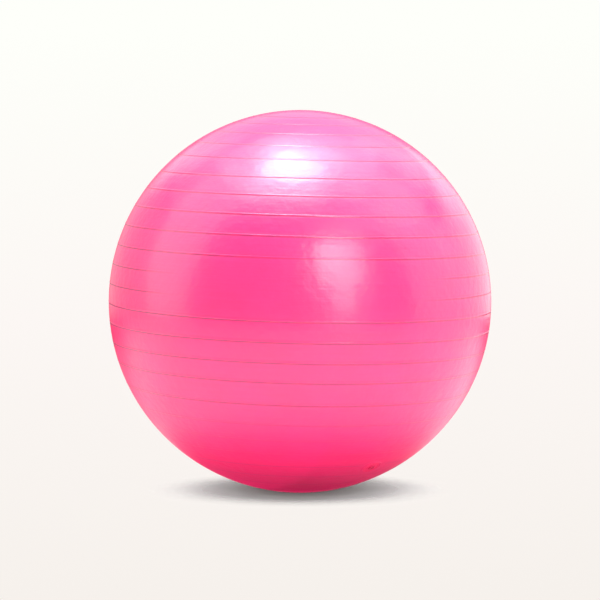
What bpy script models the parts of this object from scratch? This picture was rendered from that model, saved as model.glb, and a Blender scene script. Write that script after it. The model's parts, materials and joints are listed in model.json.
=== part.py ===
"""Exercise ball: an air-filled PVC skin, the valve seat fused into it, and the plug that shuts the valve.

Units are metres and +Z is up. The origin is on the floor, in the middle of the patch that the ball
stands on. The front faces -Y. Latitudes and longitudes are in degrees on the moulded skin: latitude
counts up from its middle, and longitude counts to the right from the front.
"""

import math

import bmesh
import bpy
from mathutils import Vector

# Skin, blown up to its rated size
BALL_DIAMETER = 0.650
WALL = 0.0008
CONTACT_DIAMETER = 0.076        # the flat patch under the ball's own weight
MOULD_LEAN = math.radians(1.41)  # the ribs lie this much lower on the right

# Grip ribs: each belt is its lowest rib's latitude, its pitch and its number of ribs
RIB_BELTS = (
    (49.4, 6.3, 5),
    (23.2, 6.35, 4),
    (-18.6, 5.92, 7),
    (-32.8, 7.0, 2),
    (-44.8, 6.0, 2),
    (-76.3, 6.3, 5),
)
RIB_WIDTH = 0.0034
RIB_HEIGHT = 0.0003
CAP_ROWS = 3                    # rows of faces between the last rib and the pole

# Where the valve is
VALVE_LATITUDE = -53.0
VALVE_LONGITUDE = 39.3

# Valve, across: each width is added to the one inside it
BORE_MOUTH_DIAMETER = 0.0090
BORE_TAPER = 0.0012             # how much narrower the bore's inner end is, across
HEAD_OVERLAP = 0.0007           # of the plug's head over the bore's mouth
RECESS_GAP = 0.0006             # round the plug's head
NECK_WALL = 0.0011
FLANGE_BRIM = 0.0081
PAD_RIM = 0.0030
BOSS_MARGIN = 0.0050

# Valve, inwards along its axis
PAD_HEIGHT = 0.0005
FLANGE_THICKNESS = 0.0015
BOSS_FLOOR = 0.0027             # of the skin's boss, under the flange
NECK_REACH = 0.0115             # into the air chamber, past the boss
RECESS_DEPTH = 0.0012
NECK_CHAMFER = 0.0006

# Plug
HEAD_THICKNESS = 0.0020
HEAD_EDGE = 0.0006
DIMPLE_DIAMETER = 0.0040
DIMPLE_DEPTH = 0.0005
STEM_GAP = 0.00065              # between the stem and the bore
TIP_REACH = 0.0030              # past the neck's end
BEAD_HEIGHT = 0.00025
BEAD_WIDTH = 0.0016
BEAD_COUNT = 3

# Clearance between pieces that are fused or that rest on each other
SEAT_GAP = 0.0003

# Facets
BALL_STEPS = 48
VALVE_STEPS = 32
ARC_STEPS = 4

# Worked out from the above
BALL_RADIUS = BALL_DIAMETER / 2
CENTRE_HEIGHT = math.sqrt(BALL_RADIUS**2 - (CONTACT_DIAMETER / 2) ** 2)
CHAMBER_RADIUS = BALL_RADIUS - WALL
FACE_RADIUS = BALL_RADIUS + PAD_HEIGHT

BORE_MOUTH_RADIUS = BORE_MOUTH_DIAMETER / 2
BORE_END_RADIUS = BORE_MOUTH_RADIUS - BORE_TAPER / 2
HEAD_RADIUS = BORE_MOUTH_RADIUS + HEAD_OVERLAP
RECESS_RADIUS = HEAD_RADIUS + RECESS_GAP
NECK_RADIUS = RECESS_RADIUS + NECK_WALL
FLANGE_RADIUS = NECK_RADIUS + FLANGE_BRIM
PAD_RADIUS = FLANGE_RADIUS + SEAT_GAP + PAD_RIM
BOSS_RADIUS = PAD_RADIUS + BOSS_MARGIN

BOSS_DEPTH = FLANGE_THICKNESS + SEAT_GAP + BOSS_FLOOR
NECK_DEPTH = BOSS_DEPTH + NECK_REACH
STEM_DEPTH = NECK_DEPTH + TIP_REACH
HEAD_BOTTOM = SEAT_GAP - RECESS_DEPTH
HEAD_TOP = HEAD_BOTTOM + HEAD_THICKNESS


def clear_scene():
    for obj in list(bpy.data.objects):
        bpy.data.objects.remove(obj, do_unlink=True)


def new_collection(name):
    collection = bpy.data.collections.new(name)
    bpy.context.scene.collection.children.link(collection)
    return collection


def make_material(name, colour, roughness, metallic=0.0):
    material = bpy.data.materials.new(name)
    material.use_nodes = True
    shader = material.node_tree.nodes["Principled BSDF"]
    shader.inputs["Base Color"].default_value = (*colour, 1.0)
    shader.inputs["Roughness"].default_value = roughness
    shader.inputs["Metallic"].default_value = metallic
    return material


def make_axis(name, parent, location, rotation, collection):
    """An empty that other objects are placed on."""
    axis = bpy.data.objects.new(name, None)
    axis.empty_display_size = 0.02
    axis.parent = parent
    axis.location = location
    axis.rotation_mode = "QUATERNION"
    axis.rotation_quaternion = rotation
    collection.objects.link(axis)
    return axis


def turned(name, profile, steps, axis, collection, is_ring=False):
    """A solid turned about the axis. The profile's points are (radius, height), from top to bottom."""
    mesh = bpy.data.meshes.new(name)
    count = len(profile)
    edges = [(i, i + 1) for i in range(count - 1)]
    if is_ring:
        edges.append((count - 1, 0))
    mesh.from_pydata([(radius, 0.0, height) for radius, height in profile], edges, [])
    obj = bpy.data.objects.new(name, mesh)
    obj.parent = axis
    collection.objects.link(obj)
    screw = obj.modifiers.new("turn", "SCREW")
    screw.axis = "Z"
    screw.angle = 2 * math.pi
    screw.steps = steps
    screw.render_steps = steps
    screw.use_merge_vertices = True
    screw.merge_threshold = 0.00001
    screw.use_smooth_shade = True
    return obj


def block_below(name, top, collection):
    """A square block, wider than the ball, that reaches down from the height `top`."""
    side = 2 * BALL_DIAMETER
    mesh = bpy.data.meshes.new(name)
    cube = bmesh.new()
    bmesh.ops.create_cube(cube, size=side)
    cube.to_mesh(mesh)
    cube.free()
    obj = bpy.data.objects.new(name, mesh)
    obj.location.z = top - side / 2
    collection.objects.link(obj)
    return obj


def boolean(target, operation, other):
    modifier = target.modifiers.new(f"{operation.lower()} {other.name}", "BOOLEAN")
    modifier.operation = operation
    modifier.solver = "EXACT"
    modifier.object = other


def mark_as_cutter(obj):
    obj.hide_render = True
    obj.display_type = "WIRE"


def finish_part(obj, material):
    """Makes the modifiers' result the object's own mesh, shaded smooth up to its real edges."""
    bpy.context.view_layer.update()
    graph = bpy.context.evaluated_depsgraph_get()
    mesh = bpy.data.meshes.new_from_object(obj.evaluated_get(graph))
    obj.modifiers.clear()
    obj.data = mesh
    mesh.name = obj.name
    mesh.materials.clear()
    mesh.materials.append(material)
    mesh.shade_smooth()
    mesh.set_sharp_from_angle(angle=math.radians(35))


def arc(centre, radius, start, end, steps):
    """Points (radius, height) along an arc, its angles in degrees counted up from level."""
    points = []
    for i in range(steps + 1):
        angle = math.radians(start + (end - start) * i / steps)
        points.append((centre[0] + radius * math.cos(angle), centre[1] + radius * math.sin(angle)))
    return points


def on_ball(latitude, radius):
    angle = math.radians(latitude)
    return (radius * math.cos(angle), radius * math.sin(angle))


def rib_latitudes():
    """Every rib, from the top one down."""
    ribs = [low + pitch * i for low, pitch, count in RIB_BELTS for i in range(count)]
    return sorted(ribs, reverse=True)


def cap_latitudes(rib):
    """The rows between the pole and the rib next to it, from the pole's side."""
    pole = math.copysign(90.0, rib)
    return [pole + (rib - pole) * i / CAP_ROWS for i in range(1, CAP_ROWS)]


def ball_profile(radius, rib_height):
    """The ball's half outline from pole to pole, with a raised rib on each rib latitude."""
    ribs = rib_latitudes()
    half_width = math.degrees(RIB_WIDTH / 2 / BALL_RADIUS)
    points = [(0.0, radius)]
    points += [on_ball(latitude, radius) for latitude in cap_latitudes(ribs[0])]
    for latitude in ribs:
        if rib_height:
            points.append(on_ball(latitude + half_width, radius))
        points.append(on_ball(latitude, radius + rib_height))
        if rib_height:
            points.append(on_ball(latitude - half_width, radius))
    points += [on_ball(latitude, radius) for latitude in reversed(cap_latitudes(ribs[-1]))]
    points.append((0.0, -radius))
    return points


def face_height(radius):
    """How far the valve's outer face, which follows the ball, has dropped at this distance from its axis."""
    return math.sqrt(FACE_RADIUS**2 - radius**2) - FACE_RADIUS


def face_points(inner, outer):
    """Points along the valve's outer face, outwards."""
    points = []
    for i in range(ARC_STEPS + 1):
        radius = inner + (outer - inner) * i / ARC_STEPS
        points.append((radius, face_height(radius)))
    return points


def bore_radius(depth):
    """The seat's tapered bore, at this depth under the valve's outer face."""
    share = (depth - RECESS_DEPTH) / (NECK_DEPTH - RECESS_DEPTH)
    return BORE_MOUTH_RADIUS + (BORE_END_RADIUS - BORE_MOUTH_RADIUS) * share


def make_chamber(ball_axis, valve_axis, cutters):
    """The air inside: round, flat over the contact patch, and dented by the boss round the valve."""
    chamber = turned("chamber", ball_profile(CHAMBER_RADIUS, 0.0), BALL_STEPS, ball_axis, cutters)
    slope = BOSS_DEPTH / 2
    profile = [
        (0.0, PAD_HEIGHT),
        (BOSS_RADIUS + slope, PAD_HEIGHT),
        (BOSS_RADIUS + slope, -BOSS_DEPTH + slope),
        (BOSS_RADIUS, -BOSS_DEPTH),
        (0.0, -BOSS_DEPTH),
    ]
    boss = turned("boss", profile, BALL_STEPS, valve_axis, cutters)
    inner_floor = block_below("inner_floor", WALL, cutters)
    boolean(chamber, "DIFFERENCE", boss)
    boolean(chamber, "DIFFERENCE", inner_floor)
    return chamber


def make_pad(valve_axis, cutters):
    """The low round pad that the valve stands in. The ribs stop at its edge."""
    edge = PAD_HEIGHT / 2
    side_top = face_height(PAD_RADIUS) - edge
    profile = face_points(0.0, PAD_RADIUS - edge)
    profile += [(PAD_RADIUS, side_top), (PAD_RADIUS, -BOSS_DEPTH / 2), (0.0, -BOSS_DEPTH / 2)]
    return turned("pad", profile, BALL_STEPS, valve_axis, cutters)


def make_valve_hole(valve_axis, cutters):
    """The stepped hole for the valve seat: a wide pocket for its flange, and a hole for its neck."""
    pocket_radius = FLANGE_RADIUS + SEAT_GAP
    pocket_floor = -FLANGE_THICKNESS - SEAT_GAP
    hole_radius = NECK_RADIUS + SEAT_GAP
    profile = [
        (0.0, FLANGE_THICKNESS),
        (pocket_radius, FLANGE_THICKNESS),
        (pocket_radius, pocket_floor),
        (hole_radius, pocket_floor),
        (hole_radius, -NECK_DEPTH),
        (0.0, -NECK_DEPTH),
    ]
    return turned("valve_hole", profile, VALVE_STEPS, valve_axis, cutters)


def make_ball_shell(ball_axis, valve_axis, parts, cutters, material):
    shell = turned("ball_shell", ball_profile(BALL_RADIUS, RIB_HEIGHT), BALL_STEPS, ball_axis, parts)
    boolean(shell, "UNION", make_pad(valve_axis, cutters))
    boolean(shell, "DIFFERENCE", block_below("floor", 0.0, cutters))
    boolean(shell, "DIFFERENCE", make_chamber(ball_axis, valve_axis, cutters))
    boolean(shell, "DIFFERENCE", make_valve_hole(valve_axis, cutters))
    finish_part(shell, material)


def make_valve_seat(valve_axis, parts, material):
    """A flange flush with the pad, a shallow recess for the plug's head, and a neck with a tapered bore."""
    profile = face_points(RECESS_RADIUS, FLANGE_RADIUS)
    profile += [
        (FLANGE_RADIUS, -FLANGE_THICKNESS),
        (NECK_RADIUS, -FLANGE_THICKNESS),
        (NECK_RADIUS, -NECK_DEPTH + NECK_CHAMFER),
        (NECK_RADIUS - NECK_CHAMFER, -NECK_DEPTH),
        (BORE_END_RADIUS, -NECK_DEPTH),
        (BORE_MOUTH_RADIUS, -RECESS_DEPTH),
        (RECESS_RADIUS, -RECESS_DEPTH),
    ]
    seat = turned("valve_seat", profile, VALVE_STEPS, valve_axis, parts, is_ring=True)
    finish_part(seat, material)


def stem_profile():
    """The plug's stem below its head: tapered like the bore, with sealing beads and a round tip."""
    tip_radius = bore_radius(NECK_DEPTH) - STEM_GAP
    beads_top = RECESS_DEPTH + BEAD_WIDTH
    pitch = (NECK_DEPTH - beads_top) / BEAD_COUNT
    points = [(BORE_MOUTH_RADIUS - STEM_GAP, HEAD_BOTTOM)]
    for i in range(BEAD_COUNT):
        top = beads_top + pitch * i
        for share, height in ((0.0, 0.0), (0.5, BEAD_HEIGHT), (1.0, 0.0)):
            depth = top + BEAD_WIDTH * share
            points.append((bore_radius(depth) - STEM_GAP + height, -depth))
    points += arc((0.0, tip_radius - STEM_DEPTH), tip_radius, 0, -90, ARC_STEPS)[:-1]
    points.append((0.0, -STEM_DEPTH))
    return points


def make_air_plug(valve_axis, parts, material):
    """The plug that is pushed into the bore: a round head with a dimple, on a tapered stem."""
    dimple_radius = DIMPLE_DIAMETER / 2
    profile = [
        (0.0, HEAD_TOP - DIMPLE_DEPTH),
        (dimple_radius - DIMPLE_DEPTH, HEAD_TOP - DIMPLE_DEPTH),
        (dimple_radius, HEAD_TOP),
    ]
    profile += arc((HEAD_RADIUS - HEAD_EDGE, HEAD_TOP - HEAD_EDGE), HEAD_EDGE, 90, 0, ARC_STEPS)
    profile.append((HEAD_RADIUS, HEAD_BOTTOM))
    profile += stem_profile()
    plug = turned("air_plug", profile, VALVE_STEPS, valve_axis, parts)
    finish_part(plug, material)


def main():
    clear_scene()
    parts = new_collection("exercise_ball")
    cutters = new_collection("cutters")

    lean = Vector((math.sin(MOULD_LEAN), 0.0, math.cos(MOULD_LEAN)))
    upright = Vector((0.0, 0.0, 1.0))
    ball_axis = make_axis(
        "ball_axis", None, (0.0, 0.0, CENTRE_HEIGHT), upright.rotation_difference(lean), parts
    )
    level, height = on_ball(VALVE_LATITUDE, 1.0)
    longitude = math.radians(VALVE_LONGITUDE)
    outwards = Vector((level * math.sin(longitude), -level * math.cos(longitude), height))
    valve_axis = make_axis(
        "valve_axis", ball_axis, outwards * FACE_RADIUS, outwards.to_track_quat("Z", "Y"), parts
    )

    skin = make_material("pink_skin", (0.93, 0.11, 0.33), 0.35)
    seat = make_material("pink_seat", (0.86, 0.08, 0.27), 0.40)
    plug = make_material("deep_pink_plug", (0.72, 0.04, 0.19), 0.40)
    make_ball_shell(ball_axis, valve_axis, parts, cutters, skin)
    make_valve_seat(valve_axis, parts, seat)
    make_air_plug(valve_axis, parts, plug)
    for cutter in cutters.objects:
        mark_as_cutter(cutter)


main()
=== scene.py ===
"""The looks of the exercise ball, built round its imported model.

Units are metres and +Z is up. The front faces -Y. Latitudes and longitudes are in degrees on the
moulded skin: latitude counts up from its middle, and longitude to the right from the front.
"""

import json
import math

import bmesh
import bpy
import numpy as np
from mathutils import Matrix, Vector


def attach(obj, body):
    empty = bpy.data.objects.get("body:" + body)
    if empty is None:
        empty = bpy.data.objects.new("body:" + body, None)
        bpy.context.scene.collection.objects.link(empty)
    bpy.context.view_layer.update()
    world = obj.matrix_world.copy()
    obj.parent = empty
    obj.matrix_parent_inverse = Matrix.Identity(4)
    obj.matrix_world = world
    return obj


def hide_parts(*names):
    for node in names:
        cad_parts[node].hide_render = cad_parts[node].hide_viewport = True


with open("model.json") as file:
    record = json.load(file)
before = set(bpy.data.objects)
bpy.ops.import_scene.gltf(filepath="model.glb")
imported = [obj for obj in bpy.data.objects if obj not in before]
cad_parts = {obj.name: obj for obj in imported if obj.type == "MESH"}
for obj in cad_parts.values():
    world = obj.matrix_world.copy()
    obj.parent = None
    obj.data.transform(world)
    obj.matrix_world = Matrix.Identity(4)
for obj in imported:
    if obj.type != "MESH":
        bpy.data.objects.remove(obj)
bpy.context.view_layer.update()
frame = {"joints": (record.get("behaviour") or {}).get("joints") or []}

# Sizes of the skin, as in the CAD
BALL_RADIUS = 0.325
WALL = 0.0008
MOULD_LEAN = math.radians(1.41)
RIB_BELTS = (
    (49.4, 6.3, 5),
    (23.2, 6.35, 4),
    (-18.6, 5.92, 7),
    (-32.8, 7.0, 2),
    (-44.8, 6.0, 2),
    (-76.3, 6.3, 5),
)
RIB_HEIGHT = 0.0003

# Widths of a rib's upper and lower flanks, which are unlike here and alike in the CAD
RIB_FLANKS = (0.0012, 0.0017)

# The fine groove along each rib's lower foot: how far its bottom is below the rib's middle, the widths of
# its upper and lower walls, and its depth
GROOVE_DROP = 0.0021
GROOVE_WALLS = (0.0009, 0.0025)
GROOVE_DEPTH = 0.00010

# Painted shade: darker lines along a rib's two feet, where its shadow would fall: strength, distance above
# its middle, widths above and below that
PAINTED_SHADE_LINES = ((1.0, -0.0019, 0.0017, 0.0021), (0.4, 0.0022, 0.0009, 0.0009))
# The painted shade's colour takes this share of the surface colour in the middle of the stronger line
PAINTED_SHADE_DARKNESS = 0.93            # share of the foot's colour in the middle of the stronger line
# The vertex layer that carries the painted shade along the ribs' feet
PAINTED_SHADE_LAYER = "rib_painted_shade"

# Sizes of the valve, as in the CAD: radii, then depths under its outer face
BORE_MOUTH_RADIUS = 0.0045
BORE_END_RADIUS = 0.0039
HEAD_RADIUS = 0.0052
RECESS_RADIUS = 0.0058
NECK_RADIUS = 0.0069
FLANGE_RADIUS = 0.0150
SEAT_GAP = 0.0003
PAD_RADIUS = 0.0183
BOSS_RADIUS = 0.0233
PAD_HEIGHT = 0.0005
FLANGE_THICKNESS = 0.0015
BOSS_DEPTH = 0.0045
NECK_DEPTH = 0.0160
STEM_DEPTH = 0.0190
RECESS_DEPTH = 0.0012
HEAD_BOTTOM = -0.0009
HEAD_TOP = 0.0011
STEM_GAP = 0.00065
BEAD_HEIGHT = 0.00025
BEAD_WIDTH = 0.0016
BEAD_COUNT = 3
PAD_SLOPE = 0.0004              # width of the pad's side
DIMPLE_DEPTH = 0.0005
DIMPLE_RADII = (0.0010, 0.0022)  # of its floor and its rim
FLANGE_GROOVE_RADIUS = 0.0102   # the fine ring in the flange's face
FLANGE_GROOVE_HALF_WIDTH = 0.0007
FLANGE_GROOVE_DEPTH = 0.00025

# The valve's axis and outer face come from the plug's joint
JOINT = frame["joints"][0]
VALVE_AXIS = Vector(JOINT["axis"]).normalized()
VALVE_FACE = Vector(JOINT["pos_m"])
FACE_RADIUS = BALL_RADIUS + PAD_HEIGHT
BALL_CENTRE = VALVE_FACE - VALVE_AXIS * FACE_RADIUS
MOULD_AXES = Matrix.Rotation(MOULD_LEAN, 3, "Y")

# Fineness of the meshes
SEGMENTS = 216
INNER_SEGMENTS = 96
VALVE_SEGMENTS = 96
# Rows of faces across a rib, as distances above its middle
RIB_SECTION = (
    0.0030, 0.0022, 0.0013, 0.0009, 0.0005, 0.0, -0.0007, -0.0013, -0.0019, -0.0026, -0.0034, -0.0046
)
GAP_ROWS = 3                    # between two ribs
CAP_ROWS = 10                   # between a pole and the rib next to it
BEAD_STEPS = 8
TIP_STEPS = 8
SHARP_ANGLE = math.radians(40)

# The ribs fade away on the smooth panel in front and round the valve, and are faint low down
PANEL_CENTRE = (8.0, 0.0)       # latitude, longitude
PANEL_HALF = (8.6, 52.0)
PANEL_FADE = (0.75, 1.15)       # no rib, whole rib: shares of the panel's half sizes
VALVE_CLEAR = (0.024, 0.034)    # no rib, whole rib: distances from the valve's axis
FAINT_BELOW = (-29.0, -36.0)    # whole rib, faint rib: latitudes
FAINT_SHARE = 0.3

# Where the meshes of the skin and of the valve meet, as distances from the valve's axis
OUTER_JOIN = 0.0212
INNER_JOIN = 0.0290
OUTER_OPENING = OUTER_JOIN + 0.0008
INNER_OPENING = INNER_JOIN + 0.0020

# The bend where the skin meets the floor: its rounding, and the height at which it has died out
FLOOR_ROUNDING = 0.0004
FLOOR_BLEND = 0.0020


def smoothstep(low, high, value):
    share = np.clip((value - low) / (high - low), 0.0, 1.0)
    return share * share * (3 - 2 * share)


def as_angle(length):
    """A length along the skin, in degrees."""
    return math.degrees(length / BALL_RADIUS)


def rib_latitudes():
    """Every rib, from the top one down."""
    ribs = [low + pitch * i for low, pitch, count in RIB_BELTS for i in range(count)]
    return sorted(ribs, reverse=True)


def between(start, end, rows):
    """The values that cut a stretch into this many rows, without its ends."""
    return [start + (end - start) * i / rows for i in range(1, rows)]


def outer_latitudes():
    """The rows of the skin's outer face, close together across each rib."""
    ribs = rib_latitudes()
    section = [as_angle(offset) for offset in RIB_SECTION]
    rows = between(90.0, ribs[0] + section[0], CAP_ROWS)
    for i, rib in enumerate(ribs):
        rows += [rib + angle for angle in section]
        if rib != ribs[-1]:
            rows += between(rows[-1], ribs[i + 1] + section[0], GAP_ROWS)
    return rows + between(rows[-1], -90.0, CAP_ROWS)


def rib_share(latitude, longitude, from_valve):
    """How much of its full height a rib has here, 0 to 1."""
    panel = np.hypot(
        (latitude - PANEL_CENTRE[0]) / PANEL_HALF[0], (longitude - PANEL_CENTRE[1]) / PANEL_HALF[1]
    )
    faint = 1 - (1 - FAINT_SHARE) * smoothstep(*FAINT_BELOW, latitude)
    return smoothstep(*PANEL_FADE, panel) * faint * smoothstep(*VALVE_CLEAR, from_valve)


def near_ribs(latitude, offset, above, below):
    """1 along a line this far above every rib's middle, smoothly down to 0 at these distances from it."""
    total = 0.0
    for rib in rib_latitudes():
        away = latitude - rib - as_angle(offset)
        away = np.where(away > 0, away / as_angle(above), -away / as_angle(below))
        total = total + 0.5 * (1 + np.cos(np.pi * np.clip(away, 0.0, 1.0)))
    return total


def on_floor(height, floor):
    """Heights with what would reach below the floor pressed flat onto it."""
    above = height - floor
    lift = FLOOR_ROUNDING**2 / (4 * FLOOR_BLEND)
    return floor + 0.5 * (above + np.sqrt(above**2 + FLOOR_ROUNDING**2)) - lift


def skin_points(latitudes, longitudes, radius, floor, ribbed):
    """The skin's points by row and column, their distances from the valve's axis, and how much each lies
    on the darker lines of painted shade along the ribs' feet.
    """
    lat = np.array(latitudes)[:, None]
    lon = np.array(longitudes)[None, :]
    lat_r, lon_r = np.radians(lat), np.radians(lon)
    level = np.cos(lat_r)
    unit = np.stack(
        [level * np.sin(lon_r), -level * np.cos(lon_r), np.sin(lat_r) * np.ones_like(lon_r)], -1
    )
    unit = unit @ np.array(MOULD_AXES).T
    along = unit @ np.array(VALVE_AXIS)
    across = np.sqrt(np.clip(1 - along**2, 0.0, None)) * radius
    across[along < 0] = radius
    size = np.full(along.shape, radius)
    painted_shade = np.zeros(along.shape)
    if ribbed:
        share = rib_share(lat, lon, across)
        size = size + RIB_HEIGHT * share * near_ribs(lat, 0.0, *RIB_FLANKS)
        size = size - GROOVE_DEPTH * share * near_ribs(lat, -GROOVE_DROP, *GROOVE_WALLS)
        # Painted shade along the ribs' feet, where their shadow would fall
        painted_shade = sum(part * share * near_ribs(lat, *line) for part, *line in PAINTED_SHADE_LINES)
    points = unit * size[..., None] + np.array(BALL_CENTRE)
    points[..., 2] = on_floor(points[..., 2], floor)
    return points, across, painted_shade


def add_sheet(bm, latitudes, segments, radius, floor, ribbed, hole):
    """One face of the skin, left open round the valve. Returns the edges of the opening."""
    longitudes = [-180.0 + 360.0 * i / segments for i in range(segments)]
    points, across, painted_shade = skin_points(latitudes, longitudes, radius, floor, ribbed)
    poles, _, _ = skin_points([90.0, -90.0], [0.0], radius, floor, False)
    # Each point keeps how much painted shade it has along the ribs' feet
    shade = bm.verts.layers.float.get(PAINTED_SHADE_LAYER)
    kept = {}

    def vertex(row, column):
        key = (row, column % segments)
        if key not in kept:
            kept[key] = bm.verts.new(points[key])
            kept[key][shade] = painted_shade[key]
        return kept[key]

    for row in range(len(latitudes) - 1):
        for column in range(segments):
            corners = [(row, column), (row + 1, column), (row + 1, column + 1), (row, column + 1)]
            if min(across[r, c % segments] for r, c in corners) > hole:
                bm.faces.new([vertex(r, c) for r, c in corners])
    for pole, row, step in ((poles[0, 0], 0, 1), (poles[1, 0], len(latitudes) - 1, -1)):
        tip = bm.verts.new(pole)
        for column in range(segments):
            pair = [vertex(row, column), vertex(row, column + 1)]
            bm.faces.new([tip] + pair[::step])
    verts = kept.values()
    return list({e for v in verts for e in v.link_edges if len(e.link_faces) == 1})


def valve_frame():
    """The matrix that takes a profile's (x, y, z), with z along the valve's axis, to the model's frame."""
    turn = VALVE_AXIS.to_track_quat("Z", "Y").to_matrix().to_4x4()
    return Matrix.Translation(VALVE_FACE) @ turn


def add_band(bm, profile, segments, closed=False):
    """A surface turned about the valve's axis, from a profile of (radius, height). Returns its end rings."""
    place = valve_frame()
    rings = []
    for radius, height in profile:
        if radius < 1e-9:
            rings.append([bm.verts.new(place @ Vector((0.0, 0.0, height)))])
            continue
        ring = []
        for i in range(segments):
            angle = 2 * math.pi * i / segments
            spot = Vector((radius * math.cos(angle), radius * math.sin(angle), height))
            ring.append(bm.verts.new(place @ spot))
        rings.append(ring)
    pairs = list(zip(rings, rings[1:]))
    if closed:
        pairs.append((rings[-1], rings[0]))
    for upper, lower in pairs:
        for i in range(segments):
            j = (i + 1) % segments
            if len(upper) == 1:
                bm.faces.new([upper[0], lower[i], lower[j]])
            elif len(lower) == 1:
                bm.faces.new([upper[i], lower[0], upper[j]])
            else:
                bm.faces.new([upper[i], lower[i], lower[j], upper[j]])
    return rings[0], rings[-1]


def ring_edges(ring):
    """The open edges along a ring of vertices."""
    ring = set(ring)
    edges = {e for v in ring for e in v.link_edges if len(e.link_faces) == 1}
    return [e for e in edges if ring.issuperset(e.verts)]


def fillet(corner, before, after, radius, steps=5):
    """Points round a profile's corner, with the two neighbours that it lies between."""
    corner, before, after = (np.array(p, float) for p in (corner, before, after))
    back, on = before - corner, after - corner
    back, on = back / np.linalg.norm(back), on / np.linalg.norm(on)
    half = math.acos(np.clip(back @ on, -1, 1)) / 2
    reach = radius / math.tan(half)
    centre = corner + (back + on) / np.linalg.norm(back + on) * radius / math.sin(half)
    first, last = corner + back * reach - centre, corner + on * reach - centre
    sweep = math.atan2(first[0] * last[1] - first[1] * last[0], first @ last)
    points = []
    for i in range(steps + 1):
        angle = sweep * i / steps
        turn = np.array([[math.cos(angle), -math.sin(angle)], [math.sin(angle), math.cos(angle)]])
        points.append(tuple(centre + turn @ first))
    return points


def rounded(profile, corners):
    """The profile with the corners that `corners` names by index rounded to their radii."""
    points = []
    for i, point in enumerate(profile):
        if i in corners:
            points += fillet(point, profile[i - 1], profile[(i + 1) % len(profile)], corners[i])
        else:
            points.append(point)
    return points


def face_height(radius):
    """The height of the valve's outer face, which follows the ball."""
    return math.sqrt(FACE_RADIUS**2 - radius**2) - FACE_RADIUS


def ball_height(radius, ball_radius):
    """The height of a ball about the same centre, at this distance from the valve's axis."""
    return math.sqrt(ball_radius**2 - radius**2) - FACE_RADIUS


def skin_valve_profile():
    """The skin round the valve: foot and top of the pad, pocket, neck hole, boss, and back to the wall."""
    inner = BALL_RADIUS - WALL
    pad_foot = PAD_RADIUS + PAD_SLOPE
    pocket = FLANGE_RADIUS + SEAT_GAP
    pocket_floor = -FLANGE_THICKNESS - SEAT_GAP
    hole = NECK_RADIUS + SEAT_GAP
    boss_edge = BOSS_RADIUS + BOSS_DEPTH / 2
    profile = [
        (OUTER_JOIN, ball_height(OUTER_JOIN, BALL_RADIUS)),
        (pad_foot, ball_height(pad_foot, BALL_RADIUS)),
        (PAD_RADIUS, face_height(PAD_RADIUS)),
        (pocket, face_height(pocket)),
        (pocket, pocket_floor),
        (hole, pocket_floor),
        (hole, -BOSS_DEPTH),
        (BOSS_RADIUS, -BOSS_DEPTH),
        (boss_edge, ball_height(boss_edge, inner)),
        (INNER_JOIN, ball_height(INNER_JOIN, inner)),
    ]
    return rounded(profile, {1: 0.0005, 2: 0.0003, 3: 0.00015, 7: 0.0010, 8: 0.0010})


def finish_mesh(bm, name, material):
    """Makes the mesh an object, shaded smooth up to its real edges."""
    bmesh.ops.recalc_face_normals(bm, faces=bm.faces)
    mesh = bpy.data.meshes.new(name)
    bm.to_mesh(mesh)
    bm.free()
    mesh.shade_smooth()
    mesh.set_sharp_from_angle(angle=SHARP_ANGLE)
    mesh.materials.append(material)
    piece = bpy.data.objects.new(name, mesh)
    bpy.context.scene.collection.objects.link(piece)
    return piece


def make_skin(material):
    """The whole skin as one closed wall: outer face, inner face, and the valve's opening between them."""
    bm = bmesh.new()
    # A vertex layer for the painted shade along the ribs' feet
    bm.verts.layers.float.new(PAINTED_SHADE_LAYER)
    inner = BALL_RADIUS - WALL
    outer_edges = add_sheet(bm, outer_latitudes(), SEGMENTS, BALL_RADIUS, 0.0, True, OUTER_OPENING)
    inner_rows = between(90.0, -90.0, INNER_SEGMENTS // 2)
    inner_edges = add_sheet(bm, inner_rows, INNER_SEGMENTS, inner, WALL, False, INNER_OPENING)
    first, last = add_band(bm, skin_valve_profile(), VALVE_SEGMENTS)
    for edges, ring in ((outer_edges, first), (inner_edges, last)):
        edges = edges + ring_edges(ring)
        bmesh.ops.triangle_fill(bm, use_beauty=True, edges=edges, normal=VALVE_AXIS)
    return finish_mesh(bm, "skin", material)


def make_seat(material):
    """The valve seat: a flange with a fine ring in its face, a recess for the plug, and a tapered bore."""
    groove = FLANGE_GROOVE_RADIUS
    inside = groove - FLANGE_GROOVE_HALF_WIDTH
    outside = groove + FLANGE_GROOVE_HALF_WIDTH
    profile = [
        (RECESS_RADIUS, face_height(RECESS_RADIUS)),
        (inside, face_height(inside)),
        (groove, face_height(groove) - FLANGE_GROOVE_DEPTH),
        (outside, face_height(outside)),
        (FLANGE_RADIUS, face_height(FLANGE_RADIUS)),
        (FLANGE_RADIUS, -FLANGE_THICKNESS),
        (NECK_RADIUS, -FLANGE_THICKNESS),
        (NECK_RADIUS, -NECK_DEPTH),
        (BORE_END_RADIUS, -NECK_DEPTH),
        (BORE_MOUTH_RADIUS, -RECESS_DEPTH),
        (RECESS_RADIUS, -RECESS_DEPTH),
    ]
    edges = {0: 0.0003, 2: 0.0004, 4: 0.0003, 5: 0.0002, 7: 0.0004, 8: 0.0003, 9: 0.0003, 10: 0.0002}
    bm = bmesh.new()
    add_band(bm, rounded(profile, edges), VALVE_SEGMENTS, closed=True)
    return finish_mesh(bm, "valve_bush", material)


def bore_radius(depth):
    """The seat's tapered bore, at this depth under the valve's outer face."""
    share = (depth - RECESS_DEPTH) / (NECK_DEPTH - RECESS_DEPTH)
    return BORE_MOUTH_RADIUS + (BORE_END_RADIUS - BORE_MOUTH_RADIUS) * share


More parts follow.
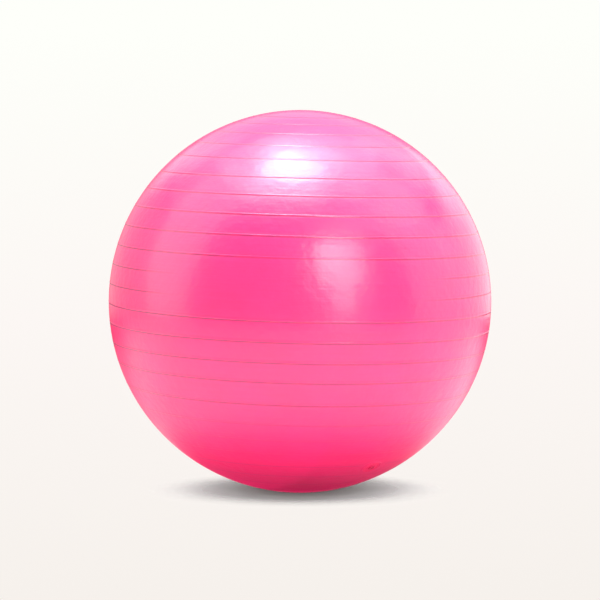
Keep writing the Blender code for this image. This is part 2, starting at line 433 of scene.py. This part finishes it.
def make_plug(material):
    """The plug: a round head with a dimple, on a tapered stem with sealing beads and a round tip."""
    tip = bore_radius(NECK_DEPTH) - STEM_GAP
    beads_top = RECESS_DEPTH + BEAD_WIDTH
    pitch = (NECK_DEPTH - beads_top) / BEAD_COUNT
    profile = [
        (0.0, HEAD_TOP - DIMPLE_DEPTH),
        (DIMPLE_RADII[0], HEAD_TOP - DIMPLE_DEPTH),
        (DIMPLE_RADII[1], HEAD_TOP),
        (HEAD_RADIUS, HEAD_TOP),
        (HEAD_RADIUS, HEAD_BOTTOM),
        (BORE_MOUTH_RADIUS - STEM_GAP, HEAD_BOTTOM),
    ]
    points = rounded(profile, {1: 0.0006, 2: 0.0006, 3: 0.0006, 4: 0.0003, 5: 0.0003})
    for i in range(BEAD_COUNT):
        for step in range(BEAD_STEPS + 1):
            depth = beads_top + pitch * i + BEAD_WIDTH * step / BEAD_STEPS
            bead = BEAD_HEIGHT * math.sin(math.pi * step / BEAD_STEPS)
            points.append((bore_radius(depth) - STEM_GAP + bead, -depth))
    for step in range(TIP_STEPS + 1):
        angle = math.pi / 2 * step / TIP_STEPS
        height = -STEM_DEPTH + tip * (1 - math.sin(angle))
        points.append((tip * math.cos(angle), height))
    bm = bmesh.new()
    add_band(bm, points, VALVE_SEGMENTS)
    return finish_mesh(bm, "plug", material)


class Nodes:
    """A short way to write a material's node tree."""

    def __init__(self, owner):
        owner.use_nodes = True
        self.tree = owner.node_tree
        self.shader = self.tree.nodes.get("Principled BSDF")

    def add(self, kind, inputs=(), **settings):
        node = self.tree.nodes.new(kind)
        for key, value in settings.items():
            setattr(node, key, value)
        for key, value in dict(inputs).items():
            if isinstance(value, bpy.types.NodeSocket):
                self.tree.links.new(value, node.inputs[key])
            else:
                node.inputs[key].default_value = value
        return node

    def noise(self, vector, scale, detail, roughness=0.5):
        inputs = {"Vector": vector, "Scale": scale, "Detail": detail, "Roughness": roughness}
        return self.add("ShaderNodeTexNoise", inputs).outputs["Fac"]

    def math(self, operation, *values):
        return self.add("ShaderNodeMath", dict(enumerate(values)), operation=operation).outputs[0]

    def vector(self, operation, *values):
        """The outputs of a calculation with vectors: Vector, and Value for a number."""
        return self.add("ShaderNodeVectorMath", dict(enumerate(values)), operation=operation).outputs

    def ease(self, value, start, end, low, high):
        """Smoothly from low to high as the value goes from start to end."""
        inputs = {"Value": value, "From Min": start, "From Max": end, "To Min": low, "To Max": high}
        return self.add("ShaderNodeMapRange", inputs, interpolation_type="SMOOTHSTEP").outputs["Result"]

    def spread(self, value, low, high):
        """A noise value, which keeps near its middle, spread over low to high."""
        inputs = {"Value": value, "From Min": 0.3, "From Max": 0.7, "To Min": low, "To Max": high}
        return self.add("ShaderNodeMapRange", inputs, clamp=False).outputs["Result"]

    def mix(self, share, first, second):
        node = self.add("ShaderNodeMix", data_type="RGBA")
        self.tree.links.new(share, node.inputs["Factor"])
        for socket, colour in ((node.inputs[6], first), (node.inputs[7], second)):
            if isinstance(colour, bpy.types.NodeSocket):
                self.tree.links.new(colour, socket)
            else:
                socket.default_value = (*colour, 1.0)
        return node.outputs[2]

    def set(self, **inputs):
        for key, value in inputs.items():
            socket = self.shader.inputs[key.replace("_", " ")]
            if isinstance(value, bpy.types.NodeSocket):
                self.tree.links.new(value, socket)
            else:
                socket.default_value = value


def pvc_material(name, deep, light, roughness, coat, grain, painted_shade=None):
    """Soft pearly PVC: faint clouds and streaks in the colour, a fine grain, and a thin gloss over it.
    When a painted shade colour is given, darker lines of painted shade run along the ribs' feet.
    """
    material = bpy.data.materials.new(name)
    nodes = Nodes(material)
    where = nodes.add("ShaderNodeTexCoord").outputs["Object"]
    turn = {"Vector": where, "Rotation": (0.0, -MOULD_LEAN, 0.0)}
    moulded = nodes.add("ShaderNodeMapping", turn).outputs["Vector"]
    stretch = {"Vector": moulded, "Scale": (9.0, 9.0, 190.0)}
    streaks = nodes.noise(nodes.add("ShaderNodeMapping", stretch).outputs["Vector"], 1.0, 6.0, 0.6)
    clouds = nodes.noise(moulded, 16.0, 5.0, 0.6)
    ripples = nodes.noise(moulded, 75.0, 2.0, 0.5)
    fine = nodes.noise(moulded, 900.0, 3.0, 0.6)
    blend = nodes.math("ADD", nodes.spread(streaks, 0.0, 0.4), nodes.spread(clouds, 0.0, 0.6))
    colour = nodes.mix(blend, deep, light)
    # Painted shade: the colour darkens along the ribs' feet, where their shadow would fall
    if painted_shade:
        shade = nodes.add("ShaderNodeAttribute", attribute_name=PAINTED_SHADE_LAYER).outputs["Fac"]
        colour = nodes.mix(nodes.math("MULTIPLY", shade, PAINTED_SHADE_DARKNESS), colour, painted_shade)
    nodes.set(Base_Color=colour)
    rough = nodes.math("ADD", nodes.spread(clouds, -0.008, 0.025), nodes.spread(fine, -0.005, 0.005))
    nodes.set(Roughness=nodes.math("ADD", rough, roughness))
    nodes.set(Coat_Weight=coat, Coat_Roughness=0.12)
    height = nodes.math("ADD", nodes.spread(fine, 0.0, 0.12), nodes.spread(streaks, 0.0, 1.4))
    height = nodes.math("ADD", height, nodes.spread(ripples, 0.0, 3.0))
    bump = {"Height": height, "Strength": grain, "Distance": 0.0001}
    nodes.set(Normal=nodes.add("ShaderNodeBump", bump).outputs["Normal"])
    return material


WATTS_PER_AREA = 4.0            # of a lamp of brightness 1, for each square metre


def add_area_light(name, place, towards, size, brightness, colour, only=None):
    """A softbox whose back faces `towards`. Its power grows with its brightness and its area."""
    light = bpy.data.lights.new(name, "AREA")
    light.shape = "RECTANGLE"
    light.size, light.size_y = size
    light.energy = brightness * WATTS_PER_AREA * size[0] * size[1]
    light.color = colour
    lamp = bpy.data.objects.new(name, light)
    lamp.location = place
    lamp.rotation_mode = "QUATERNION"
    lamp.rotation_quaternion = towards.to_track_quat("Z", "Y")
    bpy.context.scene.collection.objects.link(lamp)
    if only:
        lamp.light_linking.receiver_collection = only
    return lamp


CAMERA_ELEVATION = math.radians(4.75)
CAMERA_DISTANCE = 12.8 * BALL_RADIUS
SENSOR = 36.0
BALL_SHARE = 0.63767            # of half the picture's width, that the ball's radius takes
AIM_ABOVE = 0.0022              # how far above the ball's centre the camera aims, across its view


def camera_axes():
    """Right, up and back of the camera, as vectors."""
    e = CAMERA_ELEVATION
    return (
        Vector((1.0, 0.0, 0.0)),
        Vector((0.0, math.sin(e), math.cos(e))),
        Vector((0.0, -math.cos(e), math.sin(e))),
    )


def make_camera():
    _, up, back = camera_axes()
    data = bpy.data.cameras.new("camera")
    data.sensor_width = SENSOR
    seen = math.tan(math.asin(BALL_RADIUS / CAMERA_DISTANCE))
    data.lens = BALL_SHARE * SENSOR / 2 / seen
    data.clip_end = 100.0
    camera = bpy.data.objects.new("camera", data)
    aim = BALL_CENTRE + up * AIM_ABOVE
    camera.location = aim + back * CAMERA_DISTANCE
    camera.rotation_mode = "QUATERNION"
    camera.rotation_quaternion = back.to_track_quat("Z", "Y")
    bpy.context.scene.collection.objects.link(camera)
    bpy.context.scene.camera = camera


def seen_from(right, up):
    """A direction from the ball, as angles in degrees to the right of and above the camera's."""
    axis_right, axis_up, axis_back = camera_axes()
    level = math.cos(math.radians(up))
    return (
        axis_right * math.sin(math.radians(right)) * level
        + axis_up * math.sin(math.radians(up))
        + axis_back * math.cos(math.radians(right)) * level
    )


WHITE, COOL, WARM = (1.0, 0.985, 0.985), (0.99, 0.965, 0.985), (1.0, 0.97, 0.93)

# Softboxes: where they are seen from the ball, in degrees to the right of and above the camera;
# half width and half height in degrees; brightness and colour
SOFTBOXES = {
    "overhead": (-23.0, 80.5, 11.0, 10.0, 13.0, COOL),
    "overhead_glow": (-9.0, 79.5, 18.0, 23.0, 3.6, COOL),
    "overhead_wide": (-20.0, 89.0, 30.0, 25.0, 2.6, COOL),
    "window_core": (17.0, 24.0, 6.5, 7.5, 3.5, WHITE),
    "window": (23.0, 21.0, 13.0, 12.0, 6.0, WHITE),
    "window_foot": (24.0, 1.0, 6.0, 8.0, 5.5, WHITE),
    "left_fill": (-80.0, 30.0, 18.0, 36.0, 2.1, WARM),
    "left_back_fill": (-128.0, 14.0, 30.0, 20.0, 0.55, WARM),
    "left_upper_fill": (-122.0, 47.0, 20.0, 10.0, 0.9, WARM),
    "right_fill": (80.0, 30.0, 18.0, 38.0, 1.6, WARM),
    "right_back_fill": (128.0, 13.0, 30.0, 19.0, 1.4, WARM),
    "right_upper_fill": (108.0, 50.0, 28.0, 12.0, 1.2, WARM),
    "right_shoulder": (42.0, 41.0, 22.0, 8.0, 1.2, WARM),
    "top_back_fill": (-8.0, 134.0, 40.0, 18.0, 0.9, WHITE),
    "front_fill": (8.0, 58.0, 24.0, 5.0, 0.8, WHITE),
}
SOFTBOX_DISTANCE = 2.5


def make_lights():
    for name, (right, up, half_width, half_height, brightness, colour) in SOFTBOXES.items():
        size = [2 * SOFTBOX_DISTANCE * math.tan(math.radians(a)) for a in (half_width, half_height)]
        towards = seen_from(right, up)
        place = BALL_CENTRE + towards * SOFTBOX_DISTANCE
        add_area_light(name, place, towards, size, brightness, colour)


def make_world():
    """A pale room, brighter in front of the ball than behind it."""
    world = bpy.data.worlds.new("studio")
    bpy.context.scene.world = world
    world.use_nodes = True
    nodes = Nodes(world)
    where = nodes.add("ShaderNodeTexCoord").outputs["Generated"]
    back = nodes.add("ShaderNodeSeparateXYZ", {0: where}).outputs["Y"]
    dim = {"Value": back, "From Min": -0.6, "From Max": 0.8, "To Min": 0.80, "To Max": 0.12}
    strength = nodes.add("ShaderNodeMapRange", dim).outputs["Result"]
    background = nodes.tree.nodes["Background"]
    background.inputs["Color"].default_value = (1.0, 0.985, 0.97, 1.0)
    nodes.tree.links.new(strength, background.inputs["Strength"])


def disc(name, radius, height, segments=128):
    """A flat disc on the floor, centred under the ball."""
    bm = bmesh.new()
    bmesh.ops.create_circle(bm, cap_ends=True, segments=segments, radius=radius)
    mesh = bpy.data.meshes.new(name)
    bm.to_mesh(mesh)
    bm.free()
    piece = bpy.data.objects.new(name, mesh)
    piece.location.z = height
    bpy.context.scene.collection.objects.link(piece)
    return piece


# The two floor discs: one lights the ball and isn't seen, and the other is what the camera sees
FLOOR_RADIUS = 4.0
SEEN_FLOOR_RADIUS = 0.60
FLOOR_DROP = 0.0004              # below the ball's foot
SEEN_FLOOR_DROP = 0.0002

# Painted shadow on the unseen floor: its albedo under the ball and away from it, and how far from its foot
# the change goes
SHADED_ALBEDO, OPEN_ALBEDO = 0.20, 0.70
SHADED_TO_OPEN = (0.18, 0.36)
# A painted pool of light on the unseen floor: its albedo is highest in front of the ball and fades away from
# there
POOL_PLACE = (0.2, -1.0, 0.0)    # where it is brightest, in front of the ball
POOL_STRETCH = (0.6, 1.0, 1.0)
POOL_FADE = (1.3, 3.5)
# Painted shade on the unseen floor: its albedo drops behind the ball, less so out to the sides
BACK_WAY = (-0.2, 1.0, 0.0)      # it gets darker this way, behind the ball
BACK_FADE = (-0.25, 0.55)
BACK_SHARE = 0.2
LIGHT_SIDES = (0.4, 0.9)         # past this distance to the sides that begins later, by this much a metre

# Paint of the seen floor: albedo, cover under the ball, how far out it thins out to nothing, and its oval
SEEN_ALBEDO = 0.07
SEEN_COVER = 0.88
COVER_FADE = (0.15, 0.27)
COVER_STRETCH = (1.0, 1.4, 1.0)

# Lamps that light only the seen floor: place, size and brightness
FLOOR_LAMPS = {
    "contact_light": ((0.0, 0.0, 1.6), (10.0, 10.0), 18.0),
    "contact_front": ((0.0, -2.0, 0.5), (3.0, 0.8), 19.0),
}

BACKDROP_RADIUS = 16.0
BACKDROP_HEIGHTS = (-3.4, 1.2)
BACKDROP_COLOURS = (
    (0.0, (0.922, 0.879, 0.839)),
    (0.5, (0.973, 0.930, 0.905)),
    (1.0, (0.991, 1.0, 0.956)),
)


def matt_paint(name):
    """Matt paint with a fine grain. Returns the material, its nodes, and the place on the floor."""
    material = bpy.data.materials.new(name)
    nodes = Nodes(material)
    where = nodes.add("ShaderNodeTexCoord").outputs["Object"]
    grain = nodes.noise(where, 300.0, 4.0)
    nodes.set(Roughness=nodes.spread(grain, 0.85, 0.95), Specular_IOR_Level=0.0)
    return material, nodes, where


def unseen_floor_paint():
    """White paint with painted light: a painted shadow under the ball, painted shade behind it, and a
    painted pool of light in front, away from which it gets darker.
    """
    material, nodes, where = matt_paint("floor_with_painted_light")
    from_ball = nodes.vector("LENGTH", where)["Value"]
    # Painted shadow under the ball
    white = nodes.ease(from_ball, *SHADED_TO_OPEN, SHADED_ALBEDO, OPEN_ALBEDO)
    from_pool = nodes.vector("DISTANCE", nodes.vector("MULTIPLY", where, POOL_STRETCH)["Vector"], POOL_PLACE)
    # Painted pool of light in front of the ball
    pool = nodes.ease(from_pool["Value"], *POOL_FADE, 1.0, 0.0)
    back = nodes.vector("DOT_PRODUCT", where, BACK_WAY)["Value"]
    beside = nodes.math("ABSOLUTE", nodes.add("ShaderNodeSeparateXYZ", {0: where}).outputs["X"])
    beside = nodes.math("MAXIMUM", nodes.math("SUBTRACT", beside, LIGHT_SIDES[0]), 0.0)
    behind = nodes.math("SUBTRACT", back, nodes.math("MULTIPLY", beside, LIGHT_SIDES[1]))
    # Painted shade behind the ball
    dim = nodes.ease(behind, *BACK_FADE, 1.0, BACK_SHARE)
    nodes.set(Base_Color=nodes.math("MULTIPLY", nodes.math("MULTIPLY", white, dim), pool))
    return material


def seen_floor_paint():
    """Grey paint that covers the backdrop under the ball and thins out to nothing round it."""
    material, nodes, where = matt_paint("floor_by_the_ball")
    oval = nodes.vector("MULTIPLY", where, COVER_STRETCH)["Vector"]
    cover = nodes.ease(nodes.vector("LENGTH", oval)["Value"], *COVER_FADE, SEEN_COVER, 0.0)
    nodes.set(Alpha=cover, Base_Color=(SEEN_ALBEDO, SEEN_ALBEDO, SEEN_ALBEDO, 1.0))
    return material


def make_floor():
    """The floor that lights the ball, the floor that the camera sees, and the seen floor's own lamps."""
    lit = disc("studio_floor", FLOOR_RADIUS, -FLOOR_DROP)
    lit.visible_camera = False
    lit.visible_shadow = False
    lit.data.materials.append(unseen_floor_paint())

    seen = disc("floor", SEEN_FLOOR_RADIUS, -SEEN_FLOOR_DROP)
    seen.visible_diffuse = False
    seen.visible_glossy = False
    seen.visible_shadow = False
    seen.data.materials.append(seen_floor_paint())

    receivers = bpy.data.collections.new("seen_floor")
    receivers.objects.link(seen)
    for name, (spot, size, brightness) in FLOOR_LAMPS.items():
        add_area_light(name, spot, Vector(spot).normalized(), size, brightness, WHITE, receivers)


def backdrop_material():
    """A plain glow: warm white low down, and white at the top."""
    material = bpy.data.materials.new("pale_backdrop")
    nodes = Nodes(material)
    nodes.tree.nodes.clear()
    spot = nodes.add("ShaderNodeTexCoord").outputs["Object"]
    height = nodes.add("ShaderNodeSeparateXYZ", {0: spot}).outputs["Z"]
    low, high = BACKDROP_HEIGHTS
    share = nodes.add("ShaderNodeMapRange", {"Value": height, "From Min": low, "From Max": high})
    ramp = nodes.add("ShaderNodeValToRGB", {"Fac": share.outputs["Result"]})
    stops = ramp.color_ramp.elements
    stops.new(BACKDROP_COLOURS[1][0])
    for stop, (position, colour) in zip(stops, BACKDROP_COLOURS):
        stop.position = position
        stop.color = (*colour, 1.0)
    glow = nodes.add("ShaderNodeEmission", {"Color": ramp.outputs["Color"]})
    nodes.add("ShaderNodeOutputMaterial", {"Surface": glow.outputs[0]})
    return material


def make_backdrop():
    """A pale ball round everything, which only the camera sees."""
    bm = bmesh.new()
    bmesh.ops.create_uvsphere(bm, u_segments=64, v_segments=32, radius=BACKDROP_RADIUS)
    mesh = bpy.data.meshes.new("backdrop")
    bm.to_mesh(mesh)
    bm.free()
    mesh.shade_smooth()
    mesh.materials.append(backdrop_material())
    backdrop = bpy.data.objects.new("backdrop", mesh)
    bpy.context.scene.collection.objects.link(backdrop)
    for ray in ("diffuse", "glossy", "transmission", "shadow", "volume_scatter"):
        setattr(backdrop, f"visible_{ray}", False)


GLOW_PLACE = (0.0, 0.0, -0.5)
GLOW_SIZE = (1.2, 1.2)
GLOW_BRIGHTNESS = 5.2


def make_skin_glow(pieces):
    """Soft light on the pieces from below, for the light that comes through the thin skin down there."""
    receivers = bpy.data.collections.new("glowing_pieces")
    for piece in pieces:
        receivers.objects.link(piece)
    down = Vector((0.0, 0.0, -1.0))
    lamp = add_area_light("skin_glow", GLOW_PLACE, down, GLOW_SIZE, GLOW_BRIGHTNESS, WHITE, receivers)
    lamp.visible_glossy = False


def place(piece, body, node, slot):
    """The body that the piece moves with, the CAD node that it stands for, and its material slot, which is
    not used.
    """
    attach(piece, body)
    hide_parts(node)


make_camera()
make_world()
make_lights()
make_floor()
make_backdrop()

# The skin's last colour is the painted shade along its ribs' feet
pink = pvc_material(
    "skin_pvc", (0.68, 0.0110, 0.102), (0.74, 0.0140, 0.122), 0.30, 0.15, 0.8, painted_shade=(0.11, 0.005, 0.055)
)
bush_pink = pvc_material("bush_pvc", (0.76, 0.010, 0.098), (0.80, 0.012, 0.108), 0.32, 0.1, 0.25)
plug_pink = pvc_material("plug_pvc", (0.47, 0.005, 0.055), (0.53, 0.006, 0.065), 0.36, 0.0, 0.20)
skin, seat, plug = make_skin(pink), make_seat(bush_pink), make_plug(plug_pink)
place(skin, "ball", "ball_shell", "skin")
place(seat, "ball", "valve_seat", "valve_seat")
place(plug, "plug", "air_plug", "air_plug")
make_skin_glow([skin, seat, plug])

bpy.context.scene.view_settings.view_transform = "Standard"
